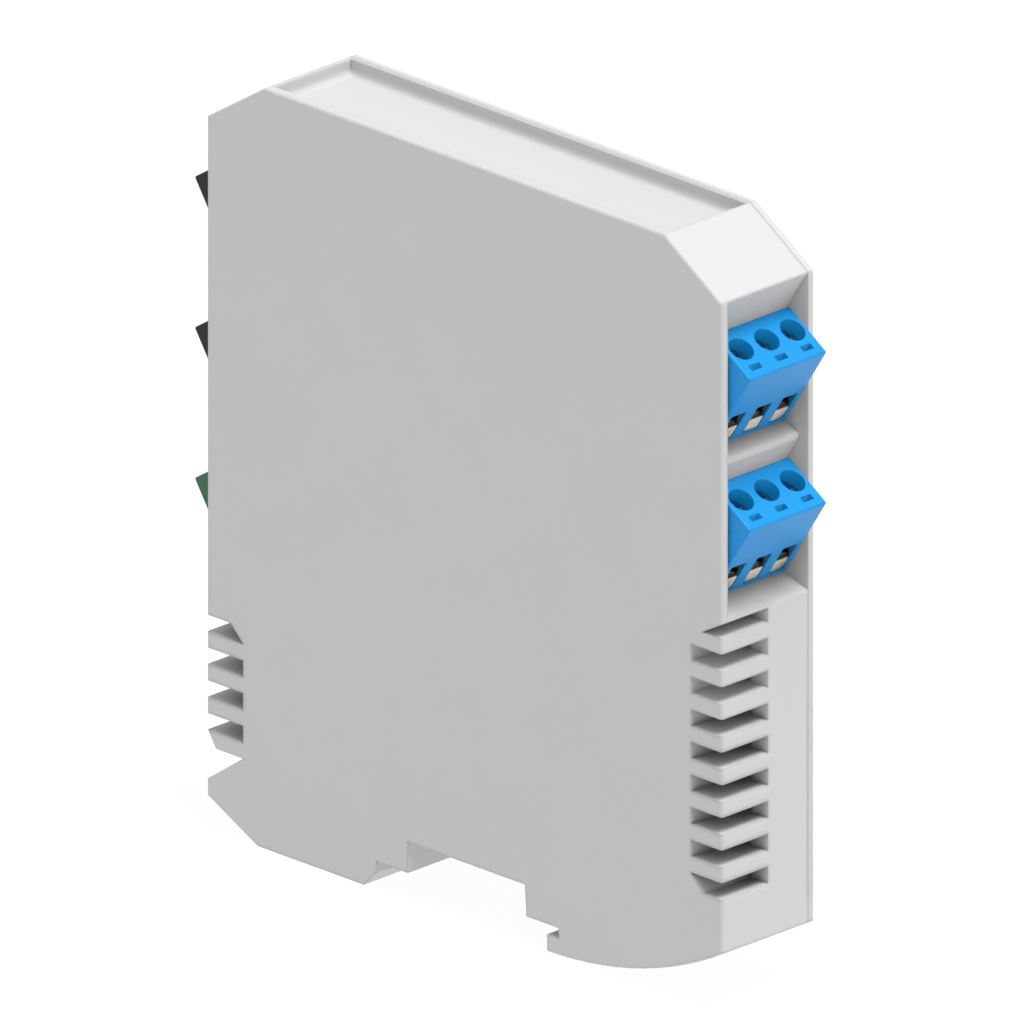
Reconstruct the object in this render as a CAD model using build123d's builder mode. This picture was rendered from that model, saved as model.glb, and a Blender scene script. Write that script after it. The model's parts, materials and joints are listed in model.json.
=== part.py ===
from build123d import *
import os
from math import cos, radians, sin, sqrt, tan

# A slim signal isolator for a 35 mm mounting rail, with five pull-off screw terminal plugs.
# Origin: middle of the base. X runs from the rear plugs to the front plugs, Y across the slim
# width (the deep moulding's flat side at -Y, the side cover at +Y), Z up. All sizes in mm.

# Housing envelope
HALF_LENGTH = 49.7
HEIGHT = 112.0
SIDE_WALL = 1.2
WALL = 1.2
EDGE_ROUND = 0.4
SHOULDER_DROP = 7.2
SHOULDER_RUN = 11.1

# Foot, rail notch and curved base
FOOT_TIP_LOW = 4.7
FOOT_TIP_HIGH = 7.2
FOOT_SLANT_RUN = 9.3
RAIL_WIDTH = 35.0
RAIL_PLAY = 0.2
RAIL_HOOK_X = 18.2
RAIL_SEAT_HEIGHT = 4.1
HOOK_REACH = 2.2
HOOK_THICKNESS = 2.6
LEAD_IN = 2.4
NOTCH_HEIGHT = 8.7
NOTCH_SEAT_REAR = 6.1
NOTCH_SEAT_FRONT = 6.5
NOTCH_DRAFT = 0.3
CURVE_END_HEIGHT = 9.0

# Vents cut in solid combs, and the finger notch under the rear ones
SLOT_HEIGHT = 2.5
SLOT_REACH = 9.0
SLOT_CORNER = 2.4
REAR_SLOT_PITCH = 4.83
REAR_SLOT_MARGIN = 0.5
REAR_SLOT_DEPTH = 7.0
FRONT_SLOT_PITCH = 4.81
FRONT_SLOT_BOTTOM = 16.95
FRONT_SLOT_DEPTH = 5.95
FRONT_SLOT_SLANT = 29.0
FRONT_SLOT_MARGIN = 0.55
COMB_WALL = 1.2
VENT_MOUTH = 2.5
FINGER_NOTCH_HEIGHT = 11.9
FINGER_NOTCH_DEPTH = 6.7
TOOTH_THICKNESS = 2.5
TOOTH_SLANT = 1.6

# Label tray in the top
TRAY_DEPTH = 2.5
TRAY_SIDE_RIM = 0.4
TRAY_END_RIM = 0.4
TRAY_RIM_BEVEL = 0.25
TRAY_FLOOR = 1.2
TRAY_FLOOR_ROUND = 1.0

# Terminal plugs: u is the pull direction, v points out of the wire entry face, w is across
PLUG_LEAN = 33.0
TIP_PROUD = 4.0
TOP_TIP_DROP = 17.7
ROW_PITCH = 22.2
POLES = 3
POLE_PITCH = 5.0
PLUG_DEPTH = 8.7
PLUG_LENGTH = 14.8
PLUG_BEVEL = 0.2
NOSE_LENGTH = 4.5
NOSE_STEP = 2.0
NOSE_SIDE_STEP = 0.6
NOSE_ROOT = 1.0
SCREW_V = -5.0
ACCESS_RADIUS = 1.9
HEAD_GAP = 0.15
HEAD_DEPTH = 2.4
HEAD_HEIGHT = 1.2
DRIVER_SLOT = 0.6
DRIVER_SLOT_DEPTH = 0.7
DRIVER_SLOT_TURN = 30.0
SHAFT_RADIUS = 1.1
SCREW_TIP_GAP = 0.05
THREAD_CLEARANCE = 0.05
SEAT_WEB = 0.6
SEAT_HOLE_CLEARANCE = 0.15
TEST_SLOT_V = -1.7
TEST_SLOT_WIDTH = 2.05
TEST_SLOT_HEIGHT = 0.9
TEST_SLOT_DEPTH = 3.0
WINDOW_HEIGHT = 5.4
WINDOW_WIDTH = 2.9
WINDOW_WALL = 0.4
WINDOW_SILL = 0.2
THROAT_FUNNEL = 0.3
POLE_WALL = 1.0
CHAMBER_FLOOR_WALL = 0.8
CHAMBER_BACK_WALL = 0.6

# Clamp cage and contact bar inside each pole
CAGE_GAP = 0.1
CAGE_WALL = 0.5
CAGE_FRONT_GAP = 0.1
CAGE_TOP_THICKNESS = 0.8
CAGE_BAR_GAP = 0.1
JAW_THICKNESS = 0.9
SKIRT_HEIGHT = 2.7
THROAT_HEIGHT = 2.8
BAR_THICKNESS = 0.7
BAR_GAP = 0.1
BAR_INSET = 0.3
LEG_THICKNESS = 0.7
LEG_GAP = 0.2
SOCKET_SIZE = 2.6
SOCKET_BORE = 1.2
SOCKET_LENGTH = 3.7
PIN_SIZE = 1.0
PIN_REACH = 3.7

# Plug pockets in the housing and the headers behind them
PLUG_CLEARANCE = 0.3
LEDGE_SLOPE = 17.6
LEDGE_ROUND = 0.8
MOUTH_ROUND = 0.5
HEADER_GAP = 0.05
HEADER_LENGTH = 5.5
HEADER_WALL = 0.6
HEADER_CLEARANCE = 0.15
HEADER_BASE = 2.3

# Circuit board, seen from the far side; places are X and height above the board's lower edge
BOARD_THICKNESS = 1.6
BOARD_STANDOFF = 0.5
BOARD_END_MARGIN = 11.5
BOARD_EDGE_GAP = 1.0
BOARD_CLEARANCE = 0.3
BOARD_FIT = 0.15
COLLAR_WIDTH = 1.0
LEG_PITCH = 2.0
LEG_START = 1.2
LEG_HOLE_CLEARANCE = 0.2
LEG_TAIL = 0.3
TRANSFORMER_PLACE = (2.0, 51.0)
CORE_SIZE = (16.0, 13.0)
CORE_DEPTH = 5.0
CORE_LEG = 4.0
CORE_WINDOW = (3.2, 9.0)
WINDING_WIDTH = 9.8
WINDING_DEPTH = 10.4
WINDING_HEIGHT = 8.6
WINDING_ROUND = 1.2
WINDING_GAP = 0.1
PRIMARY_CAN_PLACE = (-14.0, 67.0)
SECONDARY_CAN_PLACE = (16.0, 73.0)
CAN_RADIUS = 4.0
CAN_HEIGHT = 10.5
CAN_BEVEL = 0.4
CAN_GROOVE_HEIGHT = 1.8
CAN_GROOVE_DEPTH = 0.5
AMPLIFIER_PLACE = (2.0, 31.0)
AMPLIFIER_SIZE = (10.3, 7.5, 2.3)
AMPLIFIER_PINS = 8
OPTOCOUPLER_PLACE = (2.0, 73.0)
OPTOCOUPLER_SIZE = (7.3, 6.5, 3.5)
OPTOCOUPLER_PINS = 3
CONTROLLER_PLACE = (20.0, 29.0)
CONTROLLER_SIZE = (7.0, 7.0, 1.0)
CONTROLLER_PINS = 8
CHIP_LIFT = 0.15
CHIP_BEVEL = 0.25
CHIP_LEG_WIDTH = 0.42
CHIP_LEG_REACH = 1.1
CHIP_LEG_THICKNESS = 0.2
INDUCTOR_PLACE = (-12.0, 51.0)
INDUCTOR_SIZE = 7.3
INDUCTOR_ROUND = 1.5
INDUCTOR_HEIGHT = 4.0
INDUCTOR_RING = 2.6
INDUCTOR_GAP = 0.5
INDUCTOR_GAP_DEPTH = 0.8
FUSE_PLACE = (-20.0, 37.0)
FUSE_LENGTH = 7.4
FUSE_SECTION = 3.0
FUSE_CAP = 2.4
FUSE_CAP_STEP = 0.1

# Bosses that the side cover's pegs press into
BOSS_RADIUS = 2.4
BOSS_BOARD_INSET = 10.0
BOSS_RISE = 4.5
PEG_RADIUS = 1.2
PEG_CLEARANCE = 0.05
PEG_LENGTH = 5.0
PEG_END_GAP = 1.0
PEG_LEAD_IN = 0.3

# Rail latch sliding in the rear foot
LATCH_WIDTH = 7.0
LATCH_BOTTOM = 1.5
LATCH_NOSE_TOP = 3.0
LATCH_TOP = 3.9
LATCH_NOSE_REACH = 1.5
LATCH_NOSE_RAMP = 0.7
LATCH_TRAVEL = 2.5
LATCH_CLEARANCE = 0.1
LATCH_TAB = 2.0
LATCH_EYE_LENGTH = 2.0
LATCH_EYE_WIDTH = 4.0
LATCH_TAB_ROUND = 1.0
CHANNEL_WALL = 1.2

# How far cutting shapes run past what they cut
OVERRUN = 1.0
OUTSIDE = 30.0
TOUCH = 0.01

# Housing values that follow from the ones above
plug_width = POLES * POLE_PITCH
inner_half_width = plug_width / 2 + PLUG_CLEARANCE
half_width = inner_half_width + SIDE_WALL
near_inner_y = -inner_half_width
slot_back_y = -half_width + SLOT_REACH
shoulder_height = HEIGHT - SHOULDER_DROP
shoulder_x = HALF_LENGTH - SHOULDER_RUN
foot_slant_x = HALF_LENGTH - FOOT_SLANT_RUN
rail_rear_x = RAIL_HOOK_X - RAIL_WIDTH - RAIL_PLAY
notch_rear_x = rail_rear_x + NOTCH_SEAT_REAR
notch_front_x = RAIL_HOOK_X - NOTCH_SEAT_FRONT
hook_tip_x = RAIL_HOOK_X - HOOK_REACH
curve_run = HALF_LENGTH - hook_tip_x
curve_radius = (curve_run**2 + CURVE_END_HEIGHT**2) / (2 * CURVE_END_HEIGHT)
tooth_tip_height = FINGER_NOTCH_HEIGHT + TOOTH_THICKNESS
tray_length = 2 * (shoulder_x - TRAY_END_RIM)
tray_width = 2 * (inner_half_width - TRAY_SIDE_RIM)
channel_half_width = LATCH_WIDTH / 2 + LATCH_CLEARANCE
channel_height = LATCH_TOP - LATCH_BOTTOM + 2 * LATCH_CLEARANCE
channel_middle = (LATCH_TOP + LATCH_BOTTOM) / 2

# Plug values that follow, from the tip down along u and from the entry face back along v
lean_sin = sin(radians(PLUG_LEAN))
lean_cos = cos(radians(PLUG_LEAN))
tip_x = HALF_LENGTH + TIP_PROUD
head_radius = ACCESS_RADIUS - HEAD_GAP
seat_top = -HEAD_DEPTH - HEAD_HEIGHT
seat_bottom = seat_top - SEAT_WEB
nose_front = -NOSE_STEP
nose_bottom = -PLUG_LENGTH - NOSE_LENGTH
nose_width = plug_width - 2 * NOSE_SIDE_STEP
pin_v = (nose_front - PLUG_DEPTH) / 2
chamber_floor = -PLUG_LENGTH + CHAMBER_FLOOR_WALL
chamber_front = -WINDOW_WALL
chamber_back = -PLUG_DEPTH + CHAMBER_BACK_WALL
chamber_width = POLE_PITCH - POLE_WALL
window_bottom = chamber_floor + WINDOW_SILL
window_top = window_bottom + WINDOW_HEIGHT
throat_top = window_top - THROAT_FUNNEL
cage_width = chamber_width - 2 * CAGE_GAP
cage_bottom = chamber_floor + CAGE_GAP
jaw_top = cage_bottom + SKIRT_HEIGHT
bar_top = jaw_top + THROAT_HEIGHT + BAR_THICKNESS
bar_width = cage_width - 2 * CAGE_WALL - 2 * BAR_GAP
cage_top = bar_top + CAGE_BAR_GAP + CAGE_TOP_THICKNESS
cage_front = chamber_front - CAGE_FRONT_GAP
bar_front = cage_front - BAR_INSET
leg_back = chamber_back + BAR_GAP
cage_depth = cage_front - (leg_back + LEG_THICKNESS + LEG_GAP)
socket_top = chamber_floor - LEG_GAP
socket_outer = pin_v + SOCKET_SIZE / 2
socket_front = socket_outer + BAR_GAP

# Pocket, header and board values that follow
ledge_slope = tan(radians(LEDGE_SLOPE))
pocket_back = -PLUG_DEPTH - PLUG_CLEARANCE
pocket_floor = -PLUG_LENGTH - PLUG_CLEARANCE
header_top = pocket_floor - WALL - HEADER_GAP
header_bottom = header_top - HEADER_LENGTH
header_back = -PLUG_DEPTH - HEADER_CLEARANCE
header_front = nose_front + HEADER_CLEARANCE
header_inner_width = nose_width + 2 * HEADER_CLEARANCE
board_near_y = near_inner_y + BOARD_STANDOFF
board_far_y = board_near_y + BOARD_THICKNESS
board_half_length = HALF_LENGTH - BOARD_END_MARGIN
board_bottom = NOTCH_HEIGHT + WALL + BOARD_EDGE_GAP
board_top = HEIGHT - TRAY_DEPTH - TRAY_FLOOR - BOARD_EDGE_GAP
boss_x = board_half_length - BOSS_BOARD_INSET
boss_heights = (board_bottom + BOSS_RISE, board_top - BOSS_RISE)
boss_places = [(x, z) for x in (-boss_x, boss_x) for z in boss_heights]
pole_places = [(pole - (POLES - 1) / 2) * POLE_PITCH for pole in range(POLES)]

os.makedirs("parts", exist_ok=True)

# Each plug: name, side of the housing (+1 front, -1 rear) and row counted from the top
PLUGS = [
    ("front_upper", 1, 0),
    ("front_lower", 1, 1),
    ("rear_upper", -1, 0),
    ("rear_middle", -1, 1),
    ("rear_lower", -1, 2),
]
plug_seats = [(side, row) for name, side, row in PLUGS]
lowest_front_row = max(row for side, row in plug_seats if side > 0)
lowest_rear_row = max(row for side, row in plug_seats if side < 0)


def save(part, name):
    """Label one finished piece and write its file."""
    part.label = name
    export_step(part, f"parts/{name}.step")


def row_height(row):
    """Height of a plug's outer tip in the given row."""
    return HEIGHT - TOP_TIP_DROP - row * ROW_PITCH


def plug_plane(side, row):
    """Local x is v, local y is u and local z runs across the housing, from the plug's tip."""
    return Plane(
        origin=(side * tip_x, 0, row_height(row)),
        x_dir=(side * lean_cos, 0, -lean_sin),
        z_dir=(0, -side, 0),
    )


def side_plane(y):
    """A plane parallel to the housing's flat sides, with local x along X and local y up."""
    return Plane.XZ.offset(-y)


def at_plug(side, row, v, u):
    """The X and Z of a point given in a plug's own u and v."""
    x = side * (tip_x + u * lean_sin + v * lean_cos)
    z = row_height(row) + u * lean_cos - v * lean_sin
    return (x, z)


def ledge_height(row, x):
    """Height of the sloping ledge under a plug, at a distance x from the middle."""
    start_x, start_z = at_plug(1, row, 0, pocket_floor)
    return start_z - (x - start_x) * ledge_slope


def pocket_points(side, row, wall):
    """Corners of a plug's pocket, seen from the side, grown by a wall thickness."""
    outer_x = tip_x + OUTSIDE
    back = pocket_back - wall
    floor = pocket_floor - wall
    reach = (outer_x - tip_x - back * lean_cos) / lean_sin
    return [
        at_plug(side, row, back, reach),
        at_plug(side, row, back, floor),
        at_plug(side, row, 0, floor),
        (side * outer_x, ledge_height(row, outer_x) - wall),
    ]


def ledge_tip(side, row):
    """Where the ledge under a plug meets the ceiling of the next pocket down."""
    ceiling_x, ceiling_z = at_plug(1, row + 1, pocket_back, 0)
    ceiling_slope = lean_cos / lean_sin
    start_z = ledge_height(row, ceiling_x)
    x = ceiling_x + (start_z - ceiling_z) / (ledge_slope + ceiling_slope)
    return (side * x, ledge_height(row, x))


def is_at(corner, places):
    """Whether a vertex of a side sketch lies at one of the given places."""
    return any(abs(corner.X - x) < TOUCH and abs(corner.Y - z) < TOUCH for x, z in places)


# The side outline, shared by both flat sides and the walls between them
with BuildSketch() as outline:
    with BuildLine():
        curve_start = (hook_tip_x, 0)
        Polyline(
            (HALF_LENGTH, CURVE_END_HEIGHT),
            (HALF_LENGTH, shoulder_height),
            (shoulder_x, HEIGHT),
            (-shoulder_x, HEIGHT),
            (-HALF_LENGTH, shoulder_height),
            (-HALF_LENGTH, tooth_tip_height),
            (-HALF_LENGTH + TOOTH_SLANT, FINGER_NOTCH_HEIGHT),
            (-HALF_LENGTH + FINGER_NOTCH_DEPTH, FINGER_NOTCH_HEIGHT),
            (-HALF_LENGTH, FOOT_TIP_HIGH),
            (-HALF_LENGTH, FOOT_TIP_LOW),
            (-foot_slant_x, 0),
            (rail_rear_x - LEAD_IN, 0),
            (rail_rear_x, LEAD_IN),
            (rail_rear_x, RAIL_SEAT_HEIGHT),
            (notch_rear_x, RAIL_SEAT_HEIGHT),
            (notch_rear_x, NOTCH_HEIGHT),
            (notch_front_x, NOTCH_HEIGHT),
            (notch_front_x + NOTCH_DRAFT, RAIL_SEAT_HEIGHT),
            (RAIL_HOOK_X, RAIL_SEAT_HEIGHT),
            (RAIL_HOOK_X, HOOK_THICKNESS),
            (hook_tip_x, HOOK_THICKNESS),
            curve_start,
        )
        RadiusArc((HALF_LENGTH, CURVE_END_HEIGHT), curve_start, curve_radius)
    make_face()

# The pockets that the plugs sit in
with BuildSketch() as pockets:
    for side, row in plug_seats:
        with BuildLine():
            Polyline(*pocket_points(side, row, 0), close=True)
        make_face()

# Walls round the plug pockets, before the pockets are cut out of them
with BuildSketch() as pocket_walls:
    for side, row in plug_seats:
        with BuildLine():
            Polyline(*pocket_points(side, row, WALL), close=True)
        make_face()
    add(outline.sketch, mode=Mode.INTERSECT)

# The section of the housing between its flat sides: outer wall, pocket walls and solid hook
with BuildSketch() as wall_section:
    add(outline.sketch)
    offset(outline.sketch, -WALL, kind=Kind.INTERSECTION, mode=Mode.SUBTRACT)
    add(pocket_walls.sketch)
    hook_fill = RAIL_SEAT_HEIGHT + WALL
    with Locations(((notch_front_x + RAIL_HOOK_X) / 2 + WALL, hook_fill / 2)):
        Rectangle(RAIL_HOOK_X - notch_front_x + 2 * WALL, hook_fill)
    with Locations((0, HEIGHT - (TRAY_DEPTH + TRAY_FLOOR) / 2)):
        Rectangle(2 * (shoulder_x + TRAY_DEPTH), TRAY_DEPTH + TRAY_FLOOR)
    add(pockets.sketch, mode=Mode.SUBTRACT)
    add(outline.sketch, mode=Mode.INTERSECT)
    tips = [ledge_tip(side, row) for side, row in plug_seats if (side, row + 1) in plug_seats]
    fillet([corner for corner in wall_section.vertices() if is_at(corner, tips)], LEDGE_ROUND)
    lowest = [(side, row) for side, row in plug_seats if (side, row + 1) not in plug_seats]
    mouths = [(side * HALF_LENGTH, ledge_height(row, HALF_LENGTH)) for side, row in lowest]
    fillet([corner for corner in wall_section.vertices() if is_at(corner, mouths)], MOUTH_ROUND)


# The rear vents: as many equal slots as fit between the finger notch and the lowest header, in a window
# whose inner upper corner is cut at 45 degrees
rear_slot_inner = -HALF_LENGTH + REAR_SLOT_DEPTH
header_foot_height = at_plug(-1, lowest_rear_row, header_front + HEADER_WALL, header_bottom)[1]
rear_slot_limit = header_foot_height - REAR_SLOT_MARGIN
rear_slot_steps = int((rear_slot_limit - SLOT_HEIGHT - tooth_tip_height) / REAR_SLOT_PITCH)
rear_slot_top = tooth_tip_height + rear_slot_steps * REAR_SLOT_PITCH + SLOT_HEIGHT
with BuildSketch() as rear_slots:
    with Locations((-HALF_LENGTH, (tooth_tip_height + rear_slot_top) / 2)):
        with GridLocations(0, REAR_SLOT_PITCH, 1, rear_slot_steps + 1):
            Rectangle(2 * REAR_SLOT_DEPTH, SLOT_HEIGHT)
    with BuildLine():
        Polyline(
            (-HALF_LENGTH - OVERRUN, rear_slot_top),
            (rear_slot_inner - SLOT_CORNER, rear_slot_top),
            (rear_slot_inner, rear_slot_top - SLOT_CORNER),
            (rear_slot_inner, tooth_tip_height),
            (-HALF_LENGTH - OVERRUN, tooth_tip_height),
            close=True,
        )
    make_face(mode=Mode.INTERSECT)

# The front vents: a slanted top edge and a cut lower corner bound the row of slots
front_slot_inner = HALF_LENGTH - FRONT_SLOT_DEPTH
front_slot_limit = ledge_height(lowest_front_row, HALF_LENGTH) - FRONT_SLOT_MARGIN
front_slot_steps = int((front_slot_limit - FRONT_SLOT_BOTTOM) / FRONT_SLOT_PITCH)
front_slot_top = FRONT_SLOT_BOTTOM + front_slot_steps * FRONT_SLOT_PITCH + SLOT_HEIGHT
slant_slope = tan(radians(FRONT_SLOT_SLANT))
with BuildSketch() as front_slots:
    with Locations((HALF_LENGTH, (FRONT_SLOT_BOTTOM + front_slot_top) / 2)):
        with GridLocations(0, FRONT_SLOT_PITCH, 1, front_slot_steps + 1):
            Rectangle(2 * FRONT_SLOT_DEPTH, SLOT_HEIGHT)
    with BuildLine():
        Polyline(
            (HALF_LENGTH + OVERRUN, front_slot_limit + OVERRUN * slant_slope),
            (front_slot_inner, front_slot_limit - FRONT_SLOT_DEPTH * slant_slope),
            (front_slot_inner, FRONT_SLOT_BOTTOM + SLOT_CORNER),
            (front_slot_inner + SLOT_CORNER, FRONT_SLOT_BOTTOM),
            (HALF_LENGTH + OVERRUN, FRONT_SLOT_BOTTOM),
            close=True,
        )
    make_face(mode=Mode.INTERSECT)

# Solid combs round both rows of slots, so that the teeth between the slots are thick plates
rear_comb_inner = rear_slot_inner + COMB_WALL
front_comb_inner = front_slot_inner - COMB_WALL
with BuildSketch() as combs:
    with BuildLine():
        Polyline(
            (-HALF_LENGTH, rear_slot_top + COMB_WALL),
            (rear_comb_inner - SLOT_CORNER, rear_slot_top + COMB_WALL),
            (rear_comb_inner, rear_slot_top + COMB_WALL - SLOT_CORNER),
            (rear_comb_inner, FINGER_NOTCH_HEIGHT),
            (-HALF_LENGTH, FINGER_NOTCH_HEIGHT),
            close=True,
        )
    make_face()
    with BuildLine():
        front_comb_top = front_slot_limit + COMB_WALL
        Polyline(
            (HALF_LENGTH, front_comb_top),
            (front_comb_inner, front_comb_top - (FRONT_SLOT_DEPTH + COMB_WALL) * slant_slope),
            (front_comb_inner, FRONT_SLOT_BOTTOM - COMB_WALL),
            (HALF_LENGTH, FRONT_SLOT_BOTTOM - COMB_WALL),
            close=True,
        )
    make_face()
    add(outline.sketch, mode=Mode.INTERSECT)
    add(pockets.sketch, mode=Mode.SUBTRACT)

# The inner ends of the slots, where they open through the back of the combs
with BuildSketch() as vent_mouths:
    add(rear_slots.sketch)
    add(front_slots.sketch)
    with BuildLine():
        Polyline(
            (rear_slot_inner - VENT_MOUTH, 0),
            (front_slot_inner + VENT_MOUTH, 0),
            (front_slot_inner + VENT_MOUTH, HEIGHT),
            (rear_slot_inner - VENT_MOUTH, HEIGHT),
            close=True,
        )
    make_face(mode=Mode.INTERSECT)


def outer_edges(edges):
    """The outline's edges that are rounded: all but those round the rail notch."""
    chosen = []
    for edge in edges:
        middle = edge.center()
        over_rail = rail_rear_x - LEAD_IN < middle.X < RAIL_HOOK_X + OVERRUN
        at_rail = over_rail and middle.Z < NOTCH_HEIGHT + OVERRUN
        if not at_rail and middle.Z > OVERRUN:
            chosen.append(edge)
    return chosen


# Deep moulding: near side, walls, tray, rail foot and bosses in one piece
with BuildPart() as housing:
    with BuildSketch(side_plane(near_inner_y)):
        add(outline.sketch)
    extrude(amount=SIDE_WALL)
    fillet(outer_edges(housing.edges().group_by(Axis.Y)[0]), EDGE_ROUND)
    with BuildSketch(side_plane(inner_half_width)):
        add(wall_section.sketch)
    extrude(amount=2 * inner_half_width)
    # Cheeks and roof of the channel that the rail latch slides in
    with BuildSketch(side_plane(channel_half_width + CHANNEL_WALL)):
        channel_roof = LATCH_TOP + LATCH_CLEARANCE + CHANNEL_WALL
        with Locations(((rail_rear_x - HALF_LENGTH) / 2, channel_roof / 2)):
            Rectangle(HALF_LENGTH + rail_rear_x, channel_roof)
        add(outline.sketch, mode=Mode.INTERSECT)
    extrude(amount=2 * (channel_half_width + CHANNEL_WALL))
    with Locations(((rail_rear_x - HALF_LENGTH) / 2, 0, channel_middle)):
        Box(HALF_LENGTH + OVERRUN, 2 * channel_half_width, channel_height, mode=Mode.SUBTRACT)
    # Label tray with a rounded foot to its walls and a bevelled rim
    with Locations((0, 0, HEIGHT)):
        Box(tray_length, tray_width, 2 * TRAY_DEPTH, mode=Mode.SUBTRACT)
    tray_edges = housing.edges().filter_by_position(Axis.Z, HEIGHT - TRAY_DEPTH, HEIGHT - TRAY_DEPTH)
    fillet(tray_edges, TRAY_FLOOR_ROUND)
    with BuildSketch(Plane.XY.offset(HEIGHT)):
        Rectangle(tray_length + 2 * TRAY_RIM_BEVEL, tray_width + 2 * TRAY_RIM_BEVEL)
    extrude(amount=-TRAY_RIM_BEVEL, taper=45, mode=Mode.SUBTRACT)
    # Combs for the vents, slots cut from the near side, and their mouths into the housing
    with BuildSketch(side_plane(slot_back_y + COMB_WALL)):
        add(combs.sketch)
    extrude(amount=slot_back_y + COMB_WALL - near_inner_y)
    with BuildSketch(side_plane(slot_back_y)):
        add(rear_slots.sketch)
        add(front_slots.sketch)
    extrude(amount=SLOT_REACH + OVERRUN, mode=Mode.SUBTRACT)
    with BuildSketch(side_plane(slot_back_y + COMB_WALL + OVERRUN)):
        add(vent_mouths.sketch)
    extrude(amount=COMB_WALL + 2 * OVERRUN, mode=Mode.SUBTRACT)
    # Bosses with collars that hold the circuit board off the side
    with BuildSketch(side_plane(board_near_y)):
        with Locations(*boss_places):
            Circle(BOSS_RADIUS + COLLAR_WIDTH)
    extrude(amount=BOARD_STANDOFF)
    with BuildSketch(side_plane(inner_half_width)):
        with Locations(*boss_places):
            Circle(BOSS_RADIUS)
    extrude(amount=2 * inner_half_width)
    with BuildSketch(side_plane(inner_half_width)):
        with Locations(*boss_places):
            Circle(PEG_RADIUS + PEG_CLEARANCE)
    extrude(amount=PEG_LENGTH + PEG_END_GAP, mode=Mode.SUBTRACT)
    # Openings in the pocket floors, where the plugs' noses reach their headers
    for side, row in plug_seats:
        with Locations(plug_plane(side, row)):
            with Locations(((header_back + header_front) / 2, pocket_floor - WALL / 2, 0)):
                Box(header_front - header_back, 2 * WALL, header_inner_width, mode=Mode.SUBTRACT)
save(housing.part, "housing_body")

# Side cover: closes the far side and snaps in with four pegs
with BuildPart() as cover:
    with BuildSketch(side_plane(half_width)):
        add(outline.sketch)
    extrude(amount=SIDE_WALL)
    fillet(outer_edges(cover.edges().group_by(Axis.Y)[-1]), EDGE_ROUND)
    with BuildSketch(side_plane(inner_half_width)):
        with Locations(*boss_places):
            Circle(PEG_RADIUS)
    extrude(amount=PEG_LENGTH)
    chamfer(cover.edges().group_by(Axis.Y)[0], PEG_LEAD_IN)
save(cover.part, "side_cover")

# Rail latch: a slider whose nose hooks under the rail's rear edge
with BuildPart() as latch:
    nose_x = rail_rear_x + LATCH_NOSE_REACH
    with BuildSketch(side_plane(LATCH_WIDTH / 2)):
        with BuildLine():
            Polyline(
                (nose_x, LATCH_NOSE_TOP),
                (nose_x, LATCH_BOTTOM + LATCH_NOSE_RAMP),
                (nose_x - LATCH_NOSE_RAMP, LATCH_BOTTOM),
                (-HALF_LENGTH - LATCH_TAB, LATCH_BOTTOM),
                (-HALF_LENGTH - LATCH_TAB, LATCH_TOP),
                (rail_rear_x - LATCH_TRAVEL, LATCH_TOP),
                (rail_rear_x - LATCH_TRAVEL, LATCH_NOSE_TOP),
                close=True,
            )
        make_face()
    extrude(amount=LATCH_WIDTH)
    with Locations((-HALF_LENGTH, 0, (LATCH_BOTTOM + LATCH_TOP) / 2)):
        Box(LATCH_EYE_LENGTH, LATCH_EYE_WIDTH, 2 * LATCH_TOP, mode=Mode.SUBTRACT)
    tab_corners = latch.edges().filter_by(Axis.Z).group_by(Axis.X)[0]
    fillet(tab_corners, LATCH_TAB_ROUND)
save(latch.part, "rail_latch")


def plug_body(section, name):
    """One moulded plug: block, nose, and in each pole a screw well, chamber and entries."""
    with BuildPart(section) as plug:
        with Locations((-PLUG_DEPTH / 2, -PLUG_LENGTH / 2, 0)):
            Box(PLUG_DEPTH, PLUG_LENGTH, plug_width)
        chamfer(plug.edges(), PLUG_BEVEL)
        nose_middle = (nose_front - PLUG_DEPTH + PLUG_BEVEL) / 2
        with Locations((nose_middle, -PLUG_LENGTH - NOSE_LENGTH / 2 + NOSE_ROOT / 2, 0)):
            Box(PLUG_DEPTH - NOSE_STEP - PLUG_BEVEL, NOSE_LENGTH + NOSE_ROOT, nose_width)
        for across in pole_places:
            with Locations((SCREW_V, seat_top / 2, across)):
                Cylinder(ACCESS_RADIUS, -seat_top, rotation=(90, 0, 0), mode=Mode.SUBTRACT)
            with Locations((SCREW_V, seat_top, across)):
                hole_radius = SHAFT_RADIUS + SEAT_HOLE_CLEARANCE
                Cylinder(hole_radius, 2 * SEAT_WEB + OVERRUN, rotation=(90, 0, 0), mode=Mode.SUBTRACT)
            with Locations(((chamber_front + chamber_back) / 2, (seat_bottom + chamber_floor) / 2, across)):
                Box(
                    chamber_front - chamber_back,
                    seat_bottom - chamber_floor,
                    chamber_width,
                    mode=Mode.SUBTRACT,
                )
            with Locations(((socket_front + chamber_back) / 2, (chamber_floor + nose_bottom) / 2, across)):
                Box(
                    socket_front - chamber_back,
                    chamber_floor - nose_bottom + OVERRUN,
                    bar_width + 2 * BAR_GAP,
                    mode=Mode.SUBTRACT,
                )
            with Locations((TEST_SLOT_V, 0, across)):
                Box(TEST_SLOT_HEIGHT, 2 * TEST_SLOT_DEPTH, TEST_SLOT_WIDTH, mode=Mode.SUBTRACT)
            with BuildSketch(section.offset(across)):
                with BuildLine():
                    Polyline(
                        (OVERRUN, window_top),
                        (0, window_top),
                        (chamber_front, throat_top),
                        (chamber_front, window_bottom),
                        (OVERRUN, window_bottom),
                        close=True,
                    )
                make_face()
            extrude(amount=WINDOW_WIDTH / 2, both=True, mode=Mode.SUBTRACT)
    save(plug.part, name)


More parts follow.
